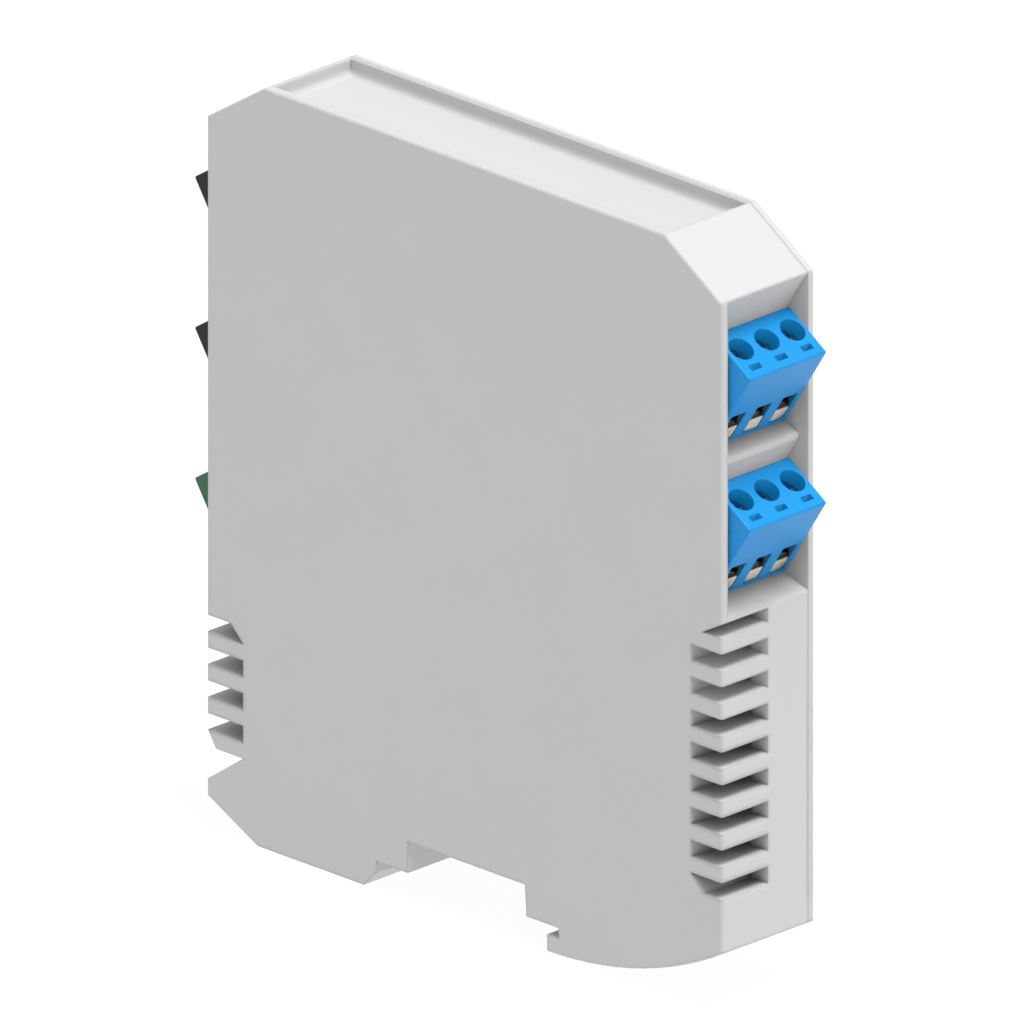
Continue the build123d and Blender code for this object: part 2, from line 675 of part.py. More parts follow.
def clamp_screw(section, across, name):
    """One captive clamp screw, with its driver slot across the head."""
    with BuildPart(section) as screw:
        with Locations((SCREW_V, -HEAD_DEPTH - HEAD_HEIGHT / 2, across)):
            Cylinder(head_radius, HEAD_HEIGHT, rotation=(90, 0, 0))
        with Locations((SCREW_V, (seat_top + bar_top + SCREW_TIP_GAP) / 2, across)):
            Cylinder(SHAFT_RADIUS, seat_top - bar_top - SCREW_TIP_GAP, rotation=(90, 0, 0))
        with Locations((SCREW_V, -HEAD_DEPTH, across)):
            Box(
                DRIVER_SLOT,
                2 * DRIVER_SLOT_DEPTH,
                2 * head_radius + OVERRUN,
                rotation=(0, DRIVER_SLOT_TURN, 0),
                mode=Mode.SUBTRACT,
            )
    save(screw.part, name)


def clamp_cage(section, across, name):
    """One rising clamp: a steel box round the contact bar, with a skirt that fills its window."""
    front = Plane(
        origin=section.from_local_coords((cage_front, 0, across)),
        x_dir=-section.z_dir,
        z_dir=section.x_dir,
    )
    with BuildPart(section) as cage:
        with BuildSketch(front):
            with Locations((0, (cage_top + cage_bottom) / 2)):
                Rectangle(cage_width, cage_top - cage_bottom)
            with Locations((0, (cage_top - CAGE_TOP_THICKNESS + jaw_top) / 2)):
                Rectangle(
                    cage_width - 2 * CAGE_WALL,
                    cage_top - CAGE_TOP_THICKNESS - jaw_top,
                    mode=Mode.SUBTRACT,
                )
        extrude(amount=-cage_depth)
        skirt_back = cage_front - CAGE_WALL
        under_jaw = jaw_top - JAW_THICKNESS - cage_bottom
        with Locations((skirt_back - cage_depth / 2, cage_bottom, across)):
            Box(cage_depth, 2 * under_jaw, cage_width - 2 * CAGE_WALL, mode=Mode.SUBTRACT)
        with Locations((SCREW_V, cage_top, across)):
            thread_radius = SHAFT_RADIUS + THREAD_CLEARANCE
            thread_cut = 2 * CAGE_TOP_THICKNESS + OVERRUN
            Cylinder(thread_radius, thread_cut, rotation=(90, 0, 0), mode=Mode.SUBTRACT)
    save(cage.part, name)


def contact_bars(section, name):
    """Three contact bars: anvil under the screw, leg down the back and socket for the pin."""
    with BuildPart(section) as contacts:
        for across in pole_places:
            with BuildSketch(section.offset(across)):
                with Locations(((bar_front + leg_back) / 2, bar_top - BAR_THICKNESS / 2)):
                    Rectangle(bar_front - leg_back, BAR_THICKNESS)
                with Locations((leg_back + LEG_THICKNESS / 2, (bar_top + socket_top - LEG_THICKNESS) / 2)):
                    Rectangle(LEG_THICKNESS, bar_top - socket_top + LEG_THICKNESS)
                with Locations(((leg_back + socket_outer) / 2, socket_top - LEG_THICKNESS / 2)):
                    Rectangle(socket_outer - leg_back, LEG_THICKNESS)
                with Locations((pin_v, socket_top - LEG_THICKNESS - SOCKET_LENGTH / 2)):
                    Rectangle(SOCKET_SIZE, SOCKET_LENGTH)
            extrude(amount=bar_width / 2, both=True)
            with Locations((pin_v, socket_top - LEG_THICKNESS - SOCKET_LENGTH / 2, across)):
                Box(SOCKET_BORE, SOCKET_LENGTH, SOCKET_BORE, mode=Mode.SUBTRACT)
    save(contacts.part, name)


def plug_header(section, name):
    """The shrouded socket that a plug's nose pushes into."""
    with BuildPart(section) as header:
        outer_middle = (header_back + header_front) / 2
        with Locations((outer_middle, (header_top + header_bottom) / 2, 0)):
            Box(
                header_front - header_back + 2 * HEADER_WALL,
                HEADER_LENGTH,
                header_inner_width + 2 * HEADER_WALL,
            )
        with Locations((outer_middle, (header_top + header_bottom + HEADER_BASE) / 2, 0)):
            Box(
                header_front - header_back,
                HEADER_LENGTH - HEADER_BASE,
                header_inner_width,
                mode=Mode.SUBTRACT,
            )
        for across in pole_places:
            with Locations((pin_v, header_bottom, across)):
                Box(PIN_SIZE, 2 * HEADER_BASE + OVERRUN, PIN_SIZE, mode=Mode.SUBTRACT)
    save(header.part, name)


def leg_u(pole):
    """How far down a pin turns towards the board: the pole next to the board turns first."""
    return header_bottom - LEG_START - pole * LEG_PITCH


for name, side, row in PLUGS:
    section = plug_plane(side, row)
    plug_body(section, f"{name}_plug")
    contact_bars(section, f"{name}_contacts")
    plug_header(section, f"{name}_header")
    for pole, across in enumerate(pole_places, start=1):
        clamp_screw(section, across, f"{name}_screw_{pole}")
        clamp_cage(section, across, f"{name}_clamp_{pole}")

# Bent pins of the headers, soldered through the board
with BuildPart() as header_pins:
    for side, row in plug_seats:
        with Locations(plug_plane(side, row)):
            for pole, y in enumerate(pole_places):
                across = -side * y
                pin_top = nose_bottom + PIN_REACH
                with Locations((pin_v, (pin_top + leg_u(pole) - PIN_SIZE / 2) / 2, across)):
                    Box(PIN_SIZE, pin_top - leg_u(pole) + PIN_SIZE / 2, PIN_SIZE)
                leg_end = board_near_y - LEG_TAIL
                with Locations((pin_v, leg_u(pole), -side * (y + leg_end) / 2)):
                    Box(PIN_SIZE, PIN_SIZE, y - leg_end)
save(header_pins.part, "header_pins")

# Circuit board, cut away round the pockets, headers and bosses
with BuildPart() as board:
    with BuildSketch(side_plane(board_far_y)):
        with Locations((0, (board_bottom + board_top) / 2)):
            Rectangle(2 * board_half_length, board_top - board_bottom)
        for side, row in plug_seats:
            back = pocket_back - WALL - BOARD_CLEARANCE
            bottom = header_bottom - BOARD_CLEARANCE
            with BuildLine():
                Polyline(
                    at_plug(side, row, back, OUTSIDE),
                    at_plug(side, row, back, bottom),
                    at_plug(side, row, header_front + HEADER_WALL + BOARD_CLEARANCE, bottom),
                    at_plug(side, row, header_front + HEADER_WALL + BOARD_CLEARANCE, pocket_floor - 2 * WALL),
                    at_plug(side, row, OUTSIDE, pocket_floor - 2 * WALL),
                    close=True,
                )
            make_face(mode=Mode.SUBTRACT)
        with Locations(*boss_places):
            Circle(BOSS_RADIUS + BOARD_FIT, mode=Mode.SUBTRACT)
        for side, row in plug_seats:
            for pole in range(POLES):
                with Locations(at_plug(side, row, pin_v, leg_u(pole))):
                    Circle(PIN_SIZE / sqrt(2) + LEG_HOLE_CLEARANCE, mode=Mode.SUBTRACT)
    extrude(amount=BOARD_THICKNESS)
save(board.part, "circuit_board")


def on_board(place):
    """The X and Z of a place given from the board's lower edge."""
    return (place[0], board_bottom + place[1])


def board_plane(place):
    """A plane on the board's far face, facing away from it."""
    x, z = on_board(place)
    return Plane(origin=(x, board_far_y, z), x_dir=(1, 0, 0), z_dir=(0, 1, 0))


# Transformer: a ferrite core with two windows, and the winding round its middle leg
core_y = board_far_y + WINDING_DEPTH / 2
with BuildPart() as core:
    with BuildSketch(side_plane(core_y + CORE_DEPTH / 2)):
        with Locations(on_board(TRANSFORMER_PLACE)):
            Rectangle(*CORE_SIZE)
            with GridLocations(CORE_LEG + CORE_WINDOW[0], 0, 2, 1):
                Rectangle(*CORE_WINDOW, mode=Mode.SUBTRACT)
    extrude(amount=CORE_DEPTH)
save(core.part, "transformer_core")

with BuildPart() as winding:
    winding_x, winding_z = on_board(TRANSFORMER_PLACE)
    with BuildSketch(Plane.XY.offset(winding_z - WINDING_HEIGHT / 2)):
        with Locations((winding_x, core_y)):
            RectangleRounded(WINDING_WIDTH, WINDING_DEPTH, WINDING_ROUND)
            Rectangle(CORE_LEG + WINDING_GAP, CORE_DEPTH + WINDING_GAP, mode=Mode.SUBTRACT)
    extrude(amount=WINDING_HEIGHT)
save(winding.part, "transformer_winding")


def can_capacitor(place, name):
    """An electrolytic can standing on the board, rolled in above its rubber foot."""
    x, z = on_board(place)
    foot = (x, board_far_y, z)
    with BuildPart() as can:
        with BuildSketch(Plane(origin=foot)):
            with BuildLine():
                Polyline(
                    (0, 0),
                    (CAN_RADIUS, 0),
                    (CAN_RADIUS, CAN_GROOVE_HEIGHT - CAN_GROOVE_DEPTH),
                    (CAN_RADIUS - CAN_GROOVE_DEPTH, CAN_GROOVE_HEIGHT),
                    (CAN_RADIUS, CAN_GROOVE_HEIGHT + CAN_GROOVE_DEPTH),
                    (CAN_RADIUS, CAN_HEIGHT - CAN_BEVEL),
                    (CAN_RADIUS - CAN_BEVEL, CAN_HEIGHT),
                    (0, CAN_HEIGHT),
                    close=True,
                )
            make_face()
        revolve(axis=Axis(foot, (0, 1, 0)))
    save(can.part, name)


def chip(place, size, pins, sides, name):
    """A moulded chip with gull-wing legs: pins on each of two or four sides."""
    length, height, thickness = size
    with BuildPart(board_plane(place)) as package:
        with Locations((0, 0, CHIP_LIFT)):
            Box(length, height, thickness, align=(Align.CENTER, Align.CENTER, Align.MIN))
        chamfer(package.edges().group_by(Axis.Y)[-1], CHIP_BEVEL)
        for turn in range(sides):
            spread = height if sides == 2 or turn % 2 == 0 else length
            run = length if sides == 2 or turn % 2 == 0 else height
            angle = 180 * turn if sides == 2 else 90 * turn
            with Locations(Location((0, 0, 0), (0, 0, angle))):
                with GridLocations(run / pins, 0, pins, 1):
                    with Locations((0, spread / 2 + CHIP_LEG_REACH / 2, CHIP_LEG_THICKNESS / 2)):
                        Box(CHIP_LEG_WIDTH, CHIP_LEG_REACH, CHIP_LEG_THICKNESS)
                    with Locations((0, spread / 2 + CHIP_LEG_THICKNESS / 2, thickness / 4 + CHIP_LIFT / 2)):
                        Box(CHIP_LEG_WIDTH, CHIP_LEG_THICKNESS, thickness / 2 + CHIP_LIFT)
    save(package.part, name)


can_capacitor(PRIMARY_CAN_PLACE, "primary_capacitor")
can_capacitor(SECONDARY_CAN_PLACE, "secondary_capacitor")
chip(AMPLIFIER_PLACE, AMPLIFIER_SIZE, AMPLIFIER_PINS, 2, "isolation_amplifier")
chip(OPTOCOUPLER_PLACE, OPTOCOUPLER_SIZE, OPTOCOUPLER_PINS, 2, "optocoupler")
chip(CONTROLLER_PLACE, CONTROLLER_SIZE, CONTROLLER_PINS, 4, "microcontroller")

# Shielded inductor of the power supply
with BuildPart() as inductor:
    with BuildSketch(side_plane(board_far_y + INDUCTOR_HEIGHT)):
        with Locations(on_board(INDUCTOR_PLACE)):
            RectangleRounded(INDUCTOR_SIZE, INDUCTOR_SIZE, INDUCTOR_ROUND)
    extrude(amount=INDUCTOR_HEIGHT)
    with BuildSketch(side_plane(board_far_y + INDUCTOR_HEIGHT)):
        with Locations(on_board(INDUCTOR_PLACE)):
            Circle(INDUCTOR_RING + INDUCTOR_GAP)
            Circle(INDUCTOR_RING, mode=Mode.SUBTRACT)
    extrude(amount=INDUCTOR_GAP_DEPTH, mode=Mode.SUBTRACT)
save(inductor.part, "power_inductor")

# Supply fuse: a ceramic block with a metal cap at each end
with BuildPart() as fuse:
    fuse_x, fuse_z = on_board(FUSE_PLACE)
    with Locations((fuse_x, board_far_y + FUSE_SECTION / 2, fuse_z)):
        Box(FUSE_LENGTH, FUSE_SECTION, FUSE_SECTION)
        with GridLocations(FUSE_LENGTH, 0, 2, 1):
            Box(FUSE_CAP, FUSE_SECTION, FUSE_SECTION + 2 * FUSE_CAP_STEP)
save(fuse.part, "supply_fuse")
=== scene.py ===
# %% [markdown]
# A slim signal isolator for a mounting rail, dressed for the studio. The shapes come from the packed
# CAD model, which is loaded first and is never moved. This script gives every piece the finish of the
# real one, adds the small work that CAD leaves out, and sets the camera, the light and the floor.
# All lengths below are in metres, and Z is up.

import json
import math

import bpy
import numpy as np
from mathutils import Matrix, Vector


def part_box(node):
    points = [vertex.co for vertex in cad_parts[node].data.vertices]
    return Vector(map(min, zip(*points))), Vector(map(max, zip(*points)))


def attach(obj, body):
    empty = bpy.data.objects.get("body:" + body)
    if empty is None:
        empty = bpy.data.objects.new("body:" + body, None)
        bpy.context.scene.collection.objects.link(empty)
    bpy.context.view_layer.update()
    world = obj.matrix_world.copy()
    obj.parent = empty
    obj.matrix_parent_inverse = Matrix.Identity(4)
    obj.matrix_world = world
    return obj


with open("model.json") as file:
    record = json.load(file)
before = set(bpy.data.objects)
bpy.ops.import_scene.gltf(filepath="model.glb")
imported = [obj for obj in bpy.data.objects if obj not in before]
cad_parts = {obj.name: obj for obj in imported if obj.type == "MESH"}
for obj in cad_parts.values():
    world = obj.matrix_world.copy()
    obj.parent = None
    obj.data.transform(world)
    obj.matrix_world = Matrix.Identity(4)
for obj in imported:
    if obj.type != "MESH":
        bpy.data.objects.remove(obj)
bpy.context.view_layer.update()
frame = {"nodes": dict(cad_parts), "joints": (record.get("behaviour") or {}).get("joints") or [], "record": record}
MM = 0.001

# %% [markdown]
# The photograph has no vanishing points: its edges that are parallel on the object are parallel in the
# picture. An orthographic camera does the same. Two angles and a scale set the view, and one corner of
# the housing whose place in the picture is known sets where the camera looks.

# %% Camera
VIEW_AZIMUTH = math.radians(44.8)
VIEW_ELEVATION = math.radians(21.6)
PICTURE_SIZE = 1024
PIXELS_PER_METRE = 7300
CORNER_PIXEL = (721.7, 954.5)
CORNER_HEIGHT = 9.0 * MM
CAMERA_DISTANCE = 0.6
NEAREST_SEEN = 0.01
FARTHEST_SEEN = 10

housing_low, housing_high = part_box("housing_body")
corner = np.array([housing_high.x, housing_low.y, CORNER_HEIGHT])
screen_right = np.array([math.cos(VIEW_AZIMUTH), math.sin(VIEW_AZIMUTH), 0])
towards_camera = np.array([
    math.sin(VIEW_AZIMUTH) * math.cos(VIEW_ELEVATION),
    -math.cos(VIEW_AZIMUTH) * math.cos(VIEW_ELEVATION),
    math.sin(VIEW_ELEVATION),
])
screen_up = np.cross(towards_camera, screen_right)
across = (PICTURE_SIZE / 2 - CORNER_PIXEL[0]) / PIXELS_PER_METRE
upward = (CORNER_PIXEL[1] - PICTURE_SIZE / 2) / PIXELS_PER_METRE
look_at = corner + across * screen_right + upward * screen_up

camera = bpy.data.objects.new("camera", bpy.data.cameras.new("camera"))
bpy.context.scene.collection.objects.link(camera)
bpy.context.scene.camera = camera
camera.data.type = "ORTHO"
camera.data.ortho_scale = PICTURE_SIZE / PIXELS_PER_METRE
camera.data.clip_start = NEAREST_SEEN
camera.data.clip_end = FARTHEST_SEEN
camera.location = look_at + CAMERA_DISTANCE * towards_camera
camera.rotation_euler = (math.pi / 2 - VIEW_ELEVATION, 0, VIEW_AZIMUTH)
print("camera looks at", (look_at / MM).round(1), "mm")

# %% [markdown]
# The light in the photograph is even: tops are brightest, then the end that faces right, then the big
# flat side. One wide sun from above and a little from the front does that, with a pale sky. The floor is
# a light table that glows almost white by itself, so the object throws next to no shadow on it, as in
# the photograph, and light comes from below too. It lies a hair under the object's flat base, so that
# the two never share a plane.

# %% Light and floor
SUN_DIRECTION = np.array([0.33, 0.0, 0.89])
SUN_STRENGTH = 2.98
SUN_SPREAD = math.radians(30)
SKY_LIGHT = 0.63
SKY_SEEN = 1.0
FLOOR_GLOW = 0.93
FLOOR_WHITE = 0.08
FLOOR_ROUGHNESS = 0.9
FLOOR_SPECULAR = 0.1
FLOOR_RADIUS = 3.0
FLOOR_SIDES = 96
FLOOR_DROP = 0.02 * MM

sun = bpy.data.objects.new("sun", bpy.data.lights.new("sun", "SUN"))
bpy.context.scene.collection.objects.link(sun)
sun.data.energy = SUN_STRENGTH
sun.data.angle = SUN_SPREAD
sun_x, sun_y, sun_z = SUN_DIRECTION / np.linalg.norm(SUN_DIRECTION)
sun.rotation_euler = (math.acos(sun_z), 0, math.atan2(sun_x, -sun_y))

world = bpy.data.worlds.new("studio")
bpy.context.scene.world = world
world.use_nodes = True
sky_nodes, sky_links = world.node_tree.nodes, world.node_tree.links
sky_path = sky_nodes.new("ShaderNodeLightPath")
sky_mix = sky_nodes.new("ShaderNodeMix")
sky_mix.data_type = "RGBA"
sky_mix.inputs["A"].default_value = (SKY_LIGHT, SKY_LIGHT, SKY_LIGHT, 1)
sky_mix.inputs["B"].default_value = (SKY_SEEN, SKY_SEEN, SKY_SEEN, 1)
sky_links.new(sky_path.outputs["Is Camera Ray"], sky_mix.inputs["Factor"])
sky_links.new(sky_mix.outputs["Result"], sky_nodes["Background"].inputs["Color"])
bpy.context.scene.view_settings.view_transform = "Standard"

angles = np.linspace(0, 2 * math.pi, FLOOR_SIDES, endpoint=False)
rim = np.stack([
    FLOOR_RADIUS * np.cos(angles),
    FLOOR_RADIUS * np.sin(angles),
    np.full(FLOOR_SIDES, -FLOOR_DROP),
], axis=1)
floor_mesh = bpy.data.meshes.new("floor")
floor_mesh.from_pydata(rim.tolist(), [], [list(range(FLOOR_SIDES))])
floor = bpy.data.objects.new("floor", floor_mesh)
bpy.context.scene.collection.objects.link(floor)

floor_paint = bpy.data.materials.new("floor_paint")
floor_paint.use_nodes = True
floor_shader = floor_paint.node_tree.nodes["Principled BSDF"]
floor_shader.inputs["Base Color"].default_value = (FLOOR_WHITE, FLOOR_WHITE, FLOOR_WHITE, 1)
floor_shader.inputs["Emission Color"].default_value = (1, 1, 1, 1)
floor_shader.inputs["Emission Strength"].default_value = FLOOR_GLOW
floor_shader.inputs["Roughness"].default_value = FLOOR_ROUGHNESS
floor_shader.inputs["Specular IOR Level"].default_value = FLOOR_SPECULAR
floor_mesh.materials.append(floor_paint)
print("sun", SUN_STRENGTH, "from", SUN_DIRECTION, "on a floor", 2 * FLOOR_RADIUS, "m wide")

# %% [markdown]
# Every finish starts from the same few nodes. Slow noise drifts the colour a little, as moulded plastic
# and rolled metal do. Fine noise roughens the surface and drives a shallow bump. Edges are softened by a
# bevelled normal, because no moulded edge is sharp, and corners get painted shade: the colour darkens where
# nearby faces close in. The housing's vents are rounder and hold much darker painted shade than its other
# edges and corners, so there both values change with the height on the piece. All the patterns read Object
# coordinates, so a pattern stays on its piece when it moves.

# %% Helper: a finish with drift, grain, soft edges and painted shade in corners
PLAIN = {
    "drift": 0.03, "drift_size": 12 * MM, "grain": 0.15, "grain_size": 0.25 * MM, "depth": 0.01 * MM,
    "metallic": 0.0, "specular": 0.5, "coat": 0.0, "stretch": (1, 1, 1),
    "edge": 0.15 * MM, "shade": 0.0, "shade_reach": 4 * MM, "shade_from": 0.45, "shade_full": 0.0,
}
DRIFT_DETAIL = 3
GRAIN_DETAIL = 2
EDGE_SAMPLES = 4
SHADE_SAMPLES = 4
VENTS_MIDDLE = 27.2 * MM
VENTS_REACH = (14.2 * MM, 14.9 * MM)


def add_node(material, kind, **values):
    """Adds a node and sets its plain properties and, by their names, its sockets' own values."""
    node = material.node_tree.nodes.new("ShaderNode" + kind)
    for key, value in values.items():
        if key in node.inputs:
            node.inputs[key].default_value = value
        else:
            setattr(node, key, value)
    return node


def by_height(material, place, beside, elsewhere):
    """One value beside the vents and another above and below them, by |height - middle of the vents|."""
    links = material.node_tree.links
    parts = add_node(material, "SeparateXYZ")
    level = add_node(material, "Math", operation="SUBTRACT")
    level.inputs[1].default_value = VENTS_MIDDLE
    away = add_node(material, "Math", operation="ABSOLUTE")
    step = add_node(material, "MapRange")
    step.inputs["From Min"].default_value = VENTS_REACH[0]
    step.inputs["From Max"].default_value = VENTS_REACH[1]
    step.inputs["To Min"].default_value = beside
    step.inputs["To Max"].default_value = elsewhere
    links.new(place.outputs["Object"], parts.inputs["Vector"])
    links.new(parts.outputs["Z"], level.inputs[0])
    links.new(level.outputs["Value"], away.inputs[0])
    links.new(away.outputs["Value"], step.inputs["Value"])
    return step.outputs["Result"]


def finish(name, colour, roughness, **changes):
    """A material: colour times (1 +- drift), roughness times (1 +- grain), a bump and soft edges.

    Where faces close by hide more than a set part of the sky, its colour goes down to 1 - shade: painted shade.
    """
    look = {**PLAIN, **changes}
    material = bpy.data.materials.new(name)
    material.use_nodes = True
    links = material.node_tree.links
    shader = material.node_tree.nodes["Principled BSDF"]
    shader.inputs["Metallic"].default_value = look["metallic"]
    shader.inputs["Specular IOR Level"].default_value = look["specular"]
    shader.inputs["Coat Weight"].default_value = look["coat"]
    place = add_node(material, "TexCoord")
    spread = add_node(material, "Mapping", Scale=look["stretch"])
    links.new(place.outputs["Object"], spread.inputs["Vector"])

    slow = add_node(material, "TexNoise", Scale=1 / look["drift_size"], Detail=DRIFT_DETAIL)
    links.new(spread.outputs["Vector"], slow.inputs["Vector"])
    dark = [part * (1 - look["drift"]) for part in colour]
    light = [min(1, part * (1 + look["drift"])) for part in colour]
    tone = add_node(material, "Mix", data_type="RGBA", A=(*dark, 1), B=(*light, 1))
    links.new(slow.outputs["Fac"], tone.inputs["Factor"])
    links.new(tone.outputs["Result"], shader.inputs["Base Color"])
    # Painted shade: the colour is multiplied down where ambient occlusion finds faces close by.
    if look["shade"]:
        nearby = add_node(material, "AmbientOcclusion", samples=SHADE_SAMPLES, Distance=look["shade_reach"])
        hold = add_node(material, "MapRange")
        hold.inputs["From Min"].default_value = look["shade_full"]
        hold.inputs["From Max"].default_value = look["shade_from"]
        hold.inputs["To Min"].default_value = 1 - look["shade"]
        # Beside the vents the painted shade goes much darker.
        if "vent_shade" in look:
            darkest = by_height(material, place, 1 - look["vent_shade"], 1 - look["shade"])
            links.new(darkest, hold.inputs["To Min"])
        shaded = add_node(material, "Mix", data_type="RGBA", blend_type="MULTIPLY", Factor=1)
        links.new(nearby.outputs["AO"], hold.inputs["Value"])
        links.new(tone.outputs["Result"], shaded.inputs["A"])
        links.new(hold.outputs["Result"], shaded.inputs["B"])
        links.new(shaded.outputs["Result"], shader.inputs["Base Color"])

    fine = add_node(material, "TexNoise", Scale=1 / look["grain_size"], Detail=GRAIN_DETAIL)
    links.new(spread.outputs["Vector"], fine.inputs["Vector"])
    dull = add_node(material, "MapRange")
    dull.inputs["To Min"].default_value = roughness * (1 - look["grain"])
    dull.inputs["To Max"].default_value = roughness * (1 + look["grain"])
    links.new(fine.outputs["Fac"], dull.inputs["Value"])
    links.new(dull.outputs["Result"], shader.inputs["Roughness"])
    soft = add_node(material, "Bevel", samples=EDGE_SAMPLES, Radius=look["edge"])
    if "vent_edge" in look:
        radius = by_height(material, place, look["vent_edge"], look["edge"])
        links.new(radius, soft.inputs["Radius"])
    bump = add_node(material, "Bump", Distance=look["depth"])
    links.new(fine.outputs["Fac"], bump.inputs["Height"])
    links.new(soft.outputs["Normal"], bump.inputs["Normal"])
    links.new(bump.outputs["Normal"], shader.inputs["Normal"])
    return material


# %% [markdown]
# The housing, its cover and the rail latch are moulded in a light grey plastic, spark-eroded to an even
# matt grain. The plugs are moulded glossier: bright blue at the front, black and green at the rear.

# %% Moulded plastics
# In these plastics "shade" is painted shade: the colour darkens a little in corners.
matt = {
    "drift": 0.012, "depth": 0.006 * MM, "specular": 0.35,
    "edge": 0.7 * MM, "shade": 0.05, "shade_from": 0.45,
}
# The vents get painted shade, nearly black deep inside them, and rounder edges.
vented = {**matt, "vent_edge": 1.1 * MM, "vent_shade": 0.95}
glossy = {"depth": 0.004 * MM, "edge": 0.25 * MM, "specular": 0.3, "shade": 0.12, "shade_from": 0.5}
finishes = {
    "housing_grey": finish("housing_grey", (0.555, 0.555, 0.555), 0.55, **vented),
    "latch_grey": finish("latch_grey", (0.52, 0.52, 0.52), 0.5, **matt),
    "plug_blue": finish("plug_blue", (0.002, 0.262, 0.66), 0.4, **glossy),
    "plug_black": finish("plug_black", (0.006, 0.006, 0.007), 0.42, drift=0.08, **glossy),
    "plug_green": finish("plug_green", (0.03, 0.135, 0.07), 0.42, drift=0.04, **glossy),
    "header_black": finish("header_black", (0.03, 0.03, 0.03), 0.5, drift=0.06, **glossy),
    "chip_black": finish("chip_black", (0.02, 0.02, 0.022), 0.6, drift=0.1),
    "ferrite": finish("ferrite", (0.06, 0.06, 0.065), 0.7, drift=0.15),
    "fuse_ceramic": finish("fuse_ceramic", (0.75, 0.72, 0.64), 0.4, drift=0.04),
    "winding_tape": finish("winding_tape", (0.70, 0.50, 0.10), 0.3, drift=0.06, coat=0.3),
    "board_green": finish("board_green", (0.015, 0.14, 0.05), 0.3, drift=0.2, drift_size=2 * MM, coat=0.4),
}

# %% [markdown]
# The metals differ in how they were made. Screws are turned and zinc plated, with a bluish cast; their dark
# blue is partly that finish and partly painted shade and a painted reflection of the blue holes they sit
# in. Cages are folded from nickel-plated strip, and deep in the plugs their colour is painted black as
# painted shade. Contacts are brass, with painted shade in their hollows, and pins are tinned. The plugs are
# left out of the light that bounces between other pieces, because the grey pockets round them show no blue
# tint in the photograph.

# %% Metals
finishes.update({
    # The screws' dark blue is partly their zinc finish and partly painted shade and painted reflection.
    "screw_steel": finish("screw_steel", (0.10, 0.15, 0.21), 0.42, drift=0.1, metallic=1.0),
    # shade=0.99 paints the inside of the cages black as painted shade.
    "clamp_steel": finish(
        "clamp_steel", (0.78, 0.71, 0.64), 0.4, drift=0.12, drift_size=1.5 * MM, metallic=0.2,
        shade=0.99, shade_from=0.75, shade_full=0.5
    ),
    # shade=0.9 paints shade into the brass contacts' hollows.
    "contact_brass": finish("contact_brass", (0.74, 0.68, 0.52), 0.35, drift=0.06, metallic=1.0, shade=0.9),
    "tinned_metal": finish("tinned_metal", (0.68, 0.68, 0.66), 0.3, drift=0.06, metallic=1.0),
    "can_metal": finish(
        "can_metal", (0.76, 0.77, 0.78), 0.28, drift=0.04, metallic=1.0, stretch=(1, 0.1, 1)
    ),
})
for row in frame["record"]["subparts"]:
    node = frame["nodes"][row["node"]]
    for slot in node.material_slots:
        slot.material = finishes[row["material_slot"]]
    if row["material_slot"].startswith("plug_"):
        node.visible_diffuse = False
print(len(finishes), "finishes on", len(frame["nodes"]), "nodes")

# %% [markdown]
# Everything that CAD leaves out is a closed skin over rings of points. The rings of one shell are joined
# by four-sided faces and its two ends are capped, or the last ring is joined to the first. One mesh may
# hold many such shells, all worked out as one array, so fifteen solder joints cost no more code than one.

# %% Helper: a closed skin over rings of points
def skin(name, shells, body, slot, loop=False):
    """A mesh from shells[n, i, j]: point j of ring i of shell n.

    A face joins points j and j + 1 of ring i to the same two of ring i + 1. The signed volume under a
    shell's faces is the sum of a . (b x c) / 6 over its triangles. Where it is negative the faces point
    inwards, and the points of that shell's rings are taken in reverse.
    """
    shells = np.array(shells, dtype=float)
    amount, rings, sides, _ = shells.shape
    ring = np.arange(rings if loop else rings - 1)[:, None] * sides
    point = np.arange(sides)[None, :]
    beyond = (point + 1) % sides
    next_ring = (ring + sides) % (rings * sides)
    quads = np.stack([ring + point, ring + beyond, next_ring + beyond, next_ring + point], axis=-1)
    quads = quads.reshape(-1, 4)
    caps = np.stack([point[0, ::-1], (rings - 1) * sides + point[0]])
    fans = [quads[:, [0, 1, 2]], quads[:, [0, 2, 3]]]
    if not loop:
        first = np.repeat(caps[:, :1], sides - 2, axis=1)
        fans.append(np.stack([first, caps[:, 1:-1], caps[:, 2:]], axis=-1).reshape(-1, 3))
    a, b, c = np.moveaxis(shells.reshape(amount, -1, 3)[:, np.concatenate(fans)], 2, 0)
    volumes = np.einsum("nfk,nfk->n", a, np.cross(b, c)) / 6
    shells[volumes < 0] = shells[volumes < 0][:, :, ::-1]

    start = np.arange(amount)[:, None, None] * rings * sides
    faces = (start + quads).reshape(-1, 4).tolist()
    if not loop:
        faces += (start + caps).reshape(-1, sides).tolist()
    mesh = bpy.data.meshes.new(name)
    mesh.from_pydata(shells.reshape(-1, 3).tolist(), [], faces)
    mesh.materials.append(finishes[slot])
    piece = bpy.data.objects.new(name, mesh)
    bpy.context.scene.collection.objects.link(piece)
    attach(piece, body)


# %% [markdown]
# Under the head, each clamp screw has a thread. It is a low ridge that winds down the shaft and fades
# out at both ends. A coarse real thread and a rope are made the same way: a small profile is carried
# along a helix. The screw's own joint says where its axis is and which way it points.

# %% Threads on the clamp screws
THREAD_ROOT = 1.08 * MM
THREAD_CREST = 1.14 * MM
THREAD_PITCH = 0.5 * MM
THREAD_TOP = -1.95 * MM
THREAD_END = -5.15 * MM
THREAD_STEPS = 22
THREAD_FADE = 0.3 * MM
THREAD_START = 0.1
THREAD_FLANK = 0.3


